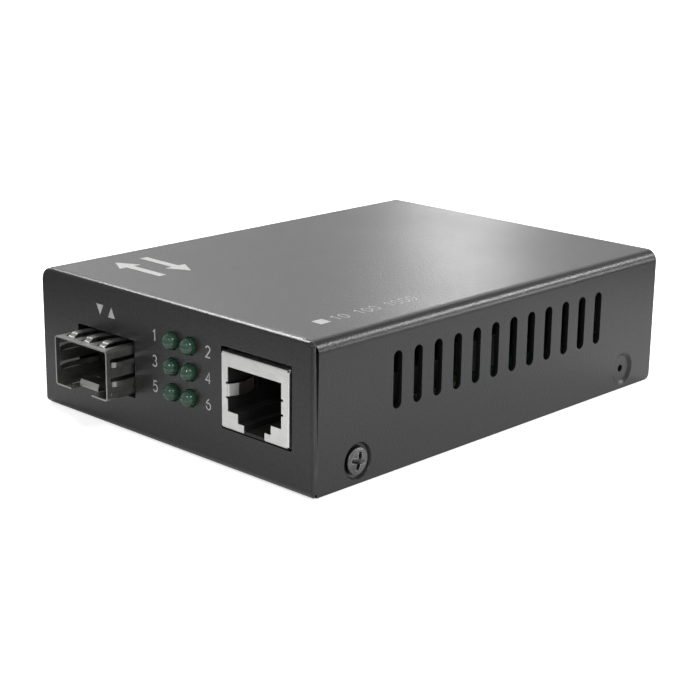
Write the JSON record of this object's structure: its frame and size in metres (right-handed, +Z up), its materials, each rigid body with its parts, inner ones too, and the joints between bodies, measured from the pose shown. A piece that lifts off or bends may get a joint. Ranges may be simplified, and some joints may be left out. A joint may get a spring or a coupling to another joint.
{
  "type": "fibre media converter",
  "caption": "Small desktop fibre media converter: folded steel case with slotted sides, a front SFP cage, status lamps and an RJ45 port, and a DC inlet at the back.",
  "frame": {"origin": "centre of the object's footprint on the surface it rests on, at the underside of the floor", "axes": "+X to the right seen from the front, +Y from the front panel to the back, +Z up"},
  "size_m": [0.0706, 0.0998, 0.026],
  "materials": {
    "case_coat": "fine-texture charcoal powder coat on steel sheet",
    "screw_steel": "blackened steel, bare where the driver has rubbed",
    "standoff_steel": "zinc-plated steel",
    "board_green": "green solder mask on glass-fibre board",
    "cage_metal": "bright tin-plated copper alloy sheet",
    "shield_metal": "satin nickel-plated sheet",
    "black_moulding": "black moulded thermoplastic",
    "contact_gold": "gold-plated spring wire",
    "lamp_green": "tinted clear epoxy, dark bottle green",
    "lead_tin": "tinned leads",
    "inlet_metal": "nickel-plated contact metal",
    "chip_black": "moulded chip package",
    "ferrite": "dark grey ferrite",
    "capacitor_can": "sleeved aluminium can",
    "crystal_can": "drawn metal can",
    "ceramic_tan": "fired ceramic with tinned ends",
    "resistor_black": "glazed thick film on ceramic"
  },
  "bodies": {
    "root": {"base_tray": "case_coat", "top_cover": "case_coat", "cover_screws": "screw_steel", "pcb_standoffs": "standoff_steel", "pcb_screws": "standoff_steel", "main_pcb": "board_green", "sfp_cage": "cage_metal", "sfp_connector": "black_moulding", "sfp_contacts": "contact_gold", "rj45_shield": "shield_metal", "rj45_housing": "black_moulding", "rj45_contacts": "contact_gold", "led_holder": "black_moulding", "led_leads": "lead_tin", "dc_jack_housing": "black_moulding", "dc_jack_pin": "inlet_metal", "dc_jack_leaf": "inlet_metal", "line_transformer": "chip_black", "line_transformer_leads": "lead_tin", "converter_chip": "chip_black", "converter_chip_leads": "lead_tin", "power_chip": "chip_black", "power_chip_leads": "lead_tin", "power_inductor": "ferrite", "power_inductor_terminals": "lead_tin", "bulk_capacitors": "capacitor_can", "clock_crystal": "crystal_can", "regulator": "chip_black", "regulator_tab": "lead_tin", "chip_capacitors": "ceramic_tan", "chip_resistors": "resistor_black", "led_1": "lamp_green", "led_2": "lamp_green", "led_3": "lamp_green", "led_4": "lamp_green", "led_5": "lamp_green", "led_6": "lamp_green"}
  },
  "joints": []
}
